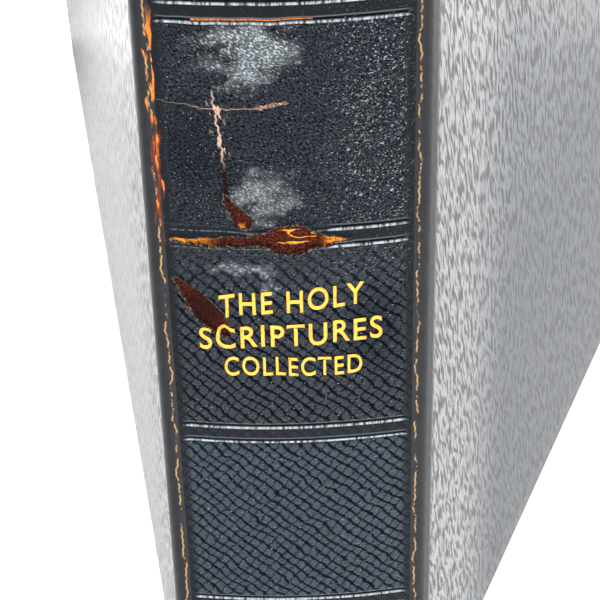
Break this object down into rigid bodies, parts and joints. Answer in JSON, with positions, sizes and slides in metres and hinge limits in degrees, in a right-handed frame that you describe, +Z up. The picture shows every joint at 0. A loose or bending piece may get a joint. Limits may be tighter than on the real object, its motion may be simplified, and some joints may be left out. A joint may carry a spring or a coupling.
{
  "type": "bible",
  "caption": "Leather-bound bible standing on its tail with splayed covers, sewn page sections, flyleaves, end bands, hollow tube and tooled spine.",
  "frame": {"origin": "on the standing plane under the crown of the spine, midway through the thickness", "axes": "+X towards the front cover, +Y from the spine to the fore-edge, +Z up from tail to head"},
  "size_m": [0.1084, 0.1384, 0.206],
  "materials": {
    "cover_leather": "pebbled, worn",
    "board": "matte",
    "endpaper": "matte",
    "pages": "matte, gilt edges",
    "lining_paper": "matte",
    "mull_cloth": "open weave",
    "tape_linen": "woven",
    "thread": "twisted",
    "band_silk": "worked silk",
    "gold_foil": "foil"
  },
  "bodies": {
    "spine": {"spine_leather": "cover_leather", "spine_inlay": "board", "hollow_tube": "lining_paper", "spine_lining": "lining_paper", "mull": "mull_cloth", "sewing_tapes": "tape_linen", "sewing_thread": "thread", "head_band": "band_silk", "tail_band": "band_silk", "front_joint_leather": "cover_leather", "back_joint_leather": "cover_leather"},
    "front_cover": {"front_cover_leather": "cover_leather", "front_board": "board", "front_pastedown": "endpaper"},
    "back_cover": {"back_cover_leather": "cover_leather", "back_board": "board", "back_pastedown": "endpaper"},
    "front_flyleaf": {"front_flyleaf": "endpaper"},
    "back_flyleaf": {"back_flyleaf": "endpaper"},
    "front_section_1": {"front_section_1": "pages"},
    "front_section_2": {"front_section_2": "pages"},
    "front_section_3": {"front_section_3": "pages"},
    "front_section_4": {"front_section_4": "pages"},
    "front_section_5": {"front_section_5": "pages"},
    "front_section_6": {"front_section_6": "pages"},
    "front_section_7": {"front_section_7": "pages"},
    "back_section_1": {"back_section_1": "pages"},
    "back_section_2": {"back_section_2": "pages"},
    "back_section_3": {"back_section_3": "pages"},
    "back_section_4": {"back_section_4": "pages"},
    "back_section_5": {"back_section_5": "pages"},
    "back_section_6": {"back_section_6": "pages"},
    "back_section_7": {"back_section_7": "pages"}
  },
  "joints": [
    {"name": "front_cover_hinge", "type": "hinge", "parent": "spine", "child": "front_cover", "pos_m": [0.01588, 0.0026, 0.103], "axis": [0, 0, -1], "range_deg": [-24, 156]},
    {"name": "back_cover_hinge", "type": "hinge", "parent": "spine", "child": "back_cover", "pos_m": [-0.01588, 0.0026, 0.103], "axis": [0, 0, 1], "range_deg": [-8, 172]},
    {"name": "front_leaves_open", "type": "hinge", "parent": "spine", "child": "front_section_7", "pos_m": [0.01342, 0.006, 0.103], "axis": [0, 0, -1], "range_deg": [0, 18]},
    {"name": "front_section_6_swing", "type": "hinge", "parent": "spine", "child": "front_section_6", "pos_m": [0.01136, 0.006, 0.103], "axis": [0, 0, -1], "range_deg": [0, 17.46]},
    {"name": "front_section_5_swing", "type": "hinge", "parent": "spine", "child": "front_section_5", "pos_m": [0.00929, 0.006, 0.103], "axis": [0, 0, -1], "range_deg": [0, 16.92]},
    {"name": "front_section_4_swing", "type": "hinge", "parent": "spine", "child": "front_section_4", "pos_m": [0.00723, 0.006, 0.103], "axis": [0, 0, -1], "range_deg": [0, 16.38]},
    {"name": "front_section_3_swing", "type": "hinge", "parent": "spine", "child": "front_section_3", "pos_m": [0.00516, 0.006, 0.103], "axis": [0, 0, -1], "range_deg": [0, 15.84]},
    {"name": "front_section_2_swing", "type": "hinge", "parent": "spine", "child": "front_section_2", "pos_m": [0.0031, 0.006, 0.103], "axis": [0, 0, -1], "range_deg": [0, 15.3]},
    {"name": "front_section_1_swing", "type": "hinge", "parent": "spine", "child": "front_section_1", "pos_m": [0.00103, 0.006, 0.103], "axis": [0, 0, -1], "range_deg": [0, 14.76]},
    {"name": "back_leaves_open", "type": "hinge", "parent": "spine", "child": "back_section_7", "pos_m": [-0.01342, 0.006, 0.103], "axis": [0, 0, 1], "range_deg": [0, 6]},
    {"name": "back_section_6_swing", "type": "hinge", "parent": "spine", "child": "back_section_6", "pos_m": [-0.01136, 0.006, 0.103], "axis": [0, 0, 1], "range_deg": [0, 5.82]},
    {"name": "back_section_5_swing", "type": "hinge", "parent": "spine", "child": "back_section_5", "pos_m": [-0.00929, 0.006, 0.103], "axis": [0, 0, 1], "range_deg": [0, 5.64]},
    {"name": "back_section_4_swing", "type": "hinge", "parent": "spine", "child": "back_section_4", "pos_m": [-0.00723, 0.006, 0.103], "axis": [0, 0, 1], "range_deg": [0, 5.46]},
    {"name": "back_section_3_swing", "type": "hinge", "parent": "spine", "child": "back_section_3", "pos_m": [-0.00516, 0.006, 0.103], "axis": [0, 0, 1], "range_deg": [0, 5.28]},
    {"name": "back_section_2_swing", "type": "hinge", "parent": "spine", "child": "back_section_2", "pos_m": [-0.0031, 0.006, 0.103], "axis": [0, 0, 1], "range_deg": [0, 5.1]},
    {"name": "back_section_1_swing", "type": "hinge", "parent": "spine", "child": "back_section_1", "pos_m": [-0.00103, 0.006, 0.103], "axis": [0, 0, 1], "range_deg": [0, 4.92]},
    {"name": "front_flyleaf_turn", "type": "hinge", "parent": "front_section_7", "child": "front_flyleaf", "pos_m": [0.01458, 0.00903, 0.103], "axis": [0, 0, -1], "range_deg": [0, 21]},
    {"name": "back_flyleaf_turn", "type": "hinge", "parent": "back_section_7", "child": "back_flyleaf", "pos_m": [-0.01458, 0.00903, 0.103], "axis": [0, 0, 1], "range_deg": [0, 6.5]}
  ],
  "couplings": [
    {"joint": "front_section_6_swing", "follows": "front_leaves_open", "ratio": 0.97},
    {"joint": "front_section_5_swing", "follows": "front_leaves_open", "ratio": 0.94},
    {"joint": "front_section_4_swing", "follows": "front_leaves_open", "ratio": 0.91},
    {"joint": "front_section_3_swing", "follows": "front_leaves_open", "ratio": 0.88},
    {"joint": "front_section_2_swing", "follows": "front_leaves_open", "ratio": 0.85},
    {"joint": "front_section_1_swing", "follows": "front_leaves_open", "ratio": 0.82},
    {"joint": "back_section_6_swing", "follows": "back_leaves_open", "ratio": 0.97},
    {"joint": "back_section_5_swing", "follows": "back_leaves_open", "ratio": 0.94},
    {"joint": "back_section_4_swing", "follows": "back_leaves_open", "ratio": 0.91},
    {"joint": "back_section_3_swing", "follows": "back_leaves_open", "ratio": 0.88},
    {"joint": "back_section_2_swing", "follows": "back_leaves_open", "ratio": 0.85},
    {"joint": "back_section_1_swing", "follows": "back_leaves_open", "ratio": 0.82}
  ]
}
